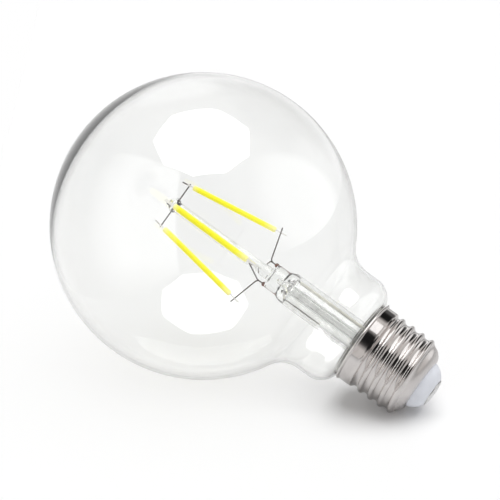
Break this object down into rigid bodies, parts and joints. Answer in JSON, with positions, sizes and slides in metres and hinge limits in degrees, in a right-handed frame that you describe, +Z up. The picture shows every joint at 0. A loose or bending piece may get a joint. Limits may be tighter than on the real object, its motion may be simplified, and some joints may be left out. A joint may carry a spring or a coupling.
{
  "type": "globe bulb",
  "caption": "Clear glass globe lamp with straight light-emitting filaments on a glass stem and a rolled screw cap, lit from a screw lampholder.",
  "frame": {"origin": "lowest point of the centre contact, on the lamp's axis", "axes": "+Z up the lamp's axis from cap to globe, -Y the front, where one filament faces the viewer, +X the side of the cap's side wire and its solder"},
  "size_m": [0.095, 0.095, 0.1355],
  "materials": {
    "clear_glass": "clear and polished",
    "phosphor": "luminous yellow phosphor in silicone",
    "carrier_strip": "plated strip",
    "nickel_wire": "drawn nickel wire",
    "seal_copper": "copper-clad seal wire",
    "lead_sleeve": "woven sleeve",
    "cap_metal": "polished nickel plate",
    "insulator": "moulded, slightly glossy",
    "contact_metal": "tinned",
    "cement": "matt cement",
    "solder": "soft solder",
    "circuit_board": "solder resist",
    "wire_insulation": "insulated wire",
    "capacitor_sleeve": "shrunk sleeve",
    "resistor_body": "lacquered ceramic",
    "chip_resin": "moulded resin"
  },
  "bodies": {
    "root": {"glass_envelope": "clear_glass", "stem_flare": "clear_glass", "exhaust_tube": "clear_glass", "support_post": "clear_glass", "right_filament_coat": "phosphor", "back_filament_coat": "phosphor", "left_filament_coat": "phosphor", "front_filament_coat": "phosphor", "right_filament_strip": "carrier_strip", "back_filament_strip": "carrier_strip", "left_filament_strip": "carrier_strip", "front_filament_strip": "carrier_strip", "side_support_wire": "nickel_wire", "front_support_wire": "nickel_wire", "right_outer_lead": "nickel_wire", "left_outer_lead": "nickel_wire", "right_branch_wire": "nickel_wire", "back_branch_wire": "nickel_wire", "left_branch_wire": "nickel_wire", "front_branch_wire": "nickel_wire", "side_wire": "nickel_wire", "right_seal_wire": "seal_copper", "left_seal_wire": "seal_copper", "right_lead_sleeve": "lead_sleeve", "left_lead_sleeve": "lead_sleeve", "screw_shell": "cap_metal", "insulator": "insulator", "centre_contact": "contact_metal", "cement_ring": "cement", "rim_solder": "solder", "driver_board": "circuit_board", "live_wire": "wire_insulation", "smoothing_capacitor": "capacitor_sleeve", "fusible_resistor": "resistor_body", "bridge_rectifier": "chip_resin", "driver_chip": "chip_resin", "sense_resistor": "chip_resin"}
  },
  "joints": []
}
